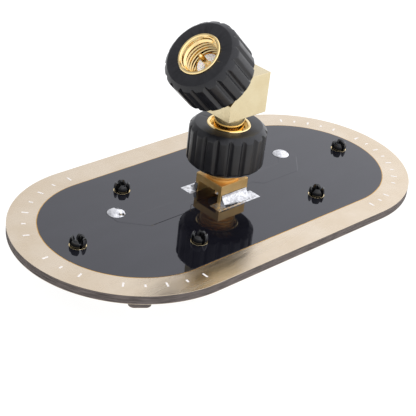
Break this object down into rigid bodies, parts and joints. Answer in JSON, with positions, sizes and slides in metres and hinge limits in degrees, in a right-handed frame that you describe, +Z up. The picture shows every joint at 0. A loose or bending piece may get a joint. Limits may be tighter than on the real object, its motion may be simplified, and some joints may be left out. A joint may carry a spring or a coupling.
{
  "type": "patch antenna",
  "caption": "Flat patch antenna board on split rivets, with a coaxial jack and a screwed-on 45 degree adapter between gripped coupling nuts.",
  "frame": {"origin": "on the surface that the rivet heads rest on, straight below the jack's axis, which is the middle of the board", "axes": "+X along the board's length, +Y across it towards the feed points, +Z up along the jack's axis; the adapter's upper arm leans towards -X and +Z"},
  "size_m": [0.083, 0.0424, 0.0401],
  "materials": {
    "board_core": "routed fibreglass laminate",
    "bare_copper": "thin plated copper",
    "border_gold": "pale gold plating",
    "mask_black": "glossy black solder mask",
    "land_gold": "gold plating",
    "tin_solder": "bright tin solder",
    "jack_gold": "dark gold plating",
    "connector_gold": "bright gold plating",
    "block_gold": "polished pale gold plating",
    "white_core": "white fluoropolymer",
    "nylon_black": "moulded black nylon",
    "grip_rubber": "satin black moulded rubber",
    "spring_bronze": "bronze spring wire",
    "seal_silicone": "soft silicone"
  },
  "bodies": {
    "antenna": {"ground_board": "board_core", "ground_foil": "border_gold", "border_trim": "border_gold", "solder_mask": "mask_black", "feed_trace": "bare_copper", "post_lands": "land_gold", "ground_pads": "tin_solder", "jack_body": "jack_gold", "jack_insulator": "white_core", "jack_contact": "connector_gold", "centre_solder": "tin_solder", "jack_solder_front": "tin_solder", "jack_solder_rear": "tin_solder", "feed_pin_left": "bare_copper", "feed_pin_right": "bare_copper", "feed_solder_left": "tin_solder", "feed_solder_right": "tin_solder", "patch_board_left": "board_core", "patch_board_right": "board_core", "patch_foil_left": "border_gold", "patch_foil_right": "border_gold", "patch_solder_left": "tin_solder", "patch_solder_right": "tin_solder", "rivet_body_1": "nylon_black", "rivet_body_2": "nylon_black", "rivet_body_3": "nylon_black", "rivet_body_4": "nylon_black", "rivet_body_5": "nylon_black", "rivet_body_6": "nylon_black", "rivet_pin_1": "nylon_black", "rivet_pin_2": "nylon_black", "rivet_pin_3": "nylon_black", "rivet_pin_4": "nylon_black", "rivet_pin_5": "nylon_black", "rivet_pin_6": "nylon_black", "spacer_sleeve_1": "nylon_black", "spacer_sleeve_2": "nylon_black", "spacer_sleeve_3": "nylon_black", "spacer_sleeve_4": "nylon_black", "spacer_sleeve_5": "nylon_black", "spacer_sleeve_6": "nylon_black"},
    "lower_ring": {"lower_snap_ring": "spring_bronze"},
    "lower_coupling": {"lower_nut": "connector_gold", "lower_grip": "grip_rubber"},
    "adapter": {"adapter_block": "block_gold", "access_plug": "connector_gold", "lower_barrel": "connector_gold", "upper_barrel": "connector_gold", "lower_gasket": "seal_silicone", "upper_gasket": "seal_silicone", "lower_insulator": "white_core", "upper_insulator": "white_core", "lower_pin": "connector_gold", "upper_pin": "connector_gold", "upper_snap_ring": "spring_bronze"},
    "upper_coupling": {"upper_nut": "connector_gold", "upper_grip": "grip_rubber"}
  },
  "joints": [
    {"name": "adapter_lift", "type": "slide", "parent": "antenna", "child": "lower_ring", "axis": [0, 0, 1], "range_m": [0, 0.00353]},
    {"name": "lower_nut_turn", "type": "hinge", "parent": "lower_ring", "child": "lower_coupling", "pos_m": [0, 0, 0.0171], "axis": [0, 0, 1], "range_deg": [0, 1800]},
    {"name": "adapter_swivel", "type": "hinge", "parent": "lower_ring", "child": "adapter", "pos_m": [0, 0, 0.0268], "axis": [0, 0, 1], "continuous": true},
    {"name": "upper_nut_spin", "type": "hinge", "parent": "adapter", "child": "upper_coupling", "pos_m": [0, 0, 0.0268], "axis": [-0.7071, 0, 0.7071], "continuous": true}
  ],
  "couplings": [
    {"joint": "lower_nut_turn", "follows": "adapter_lift", "rad_per_m": 8905.3}
  ]
}
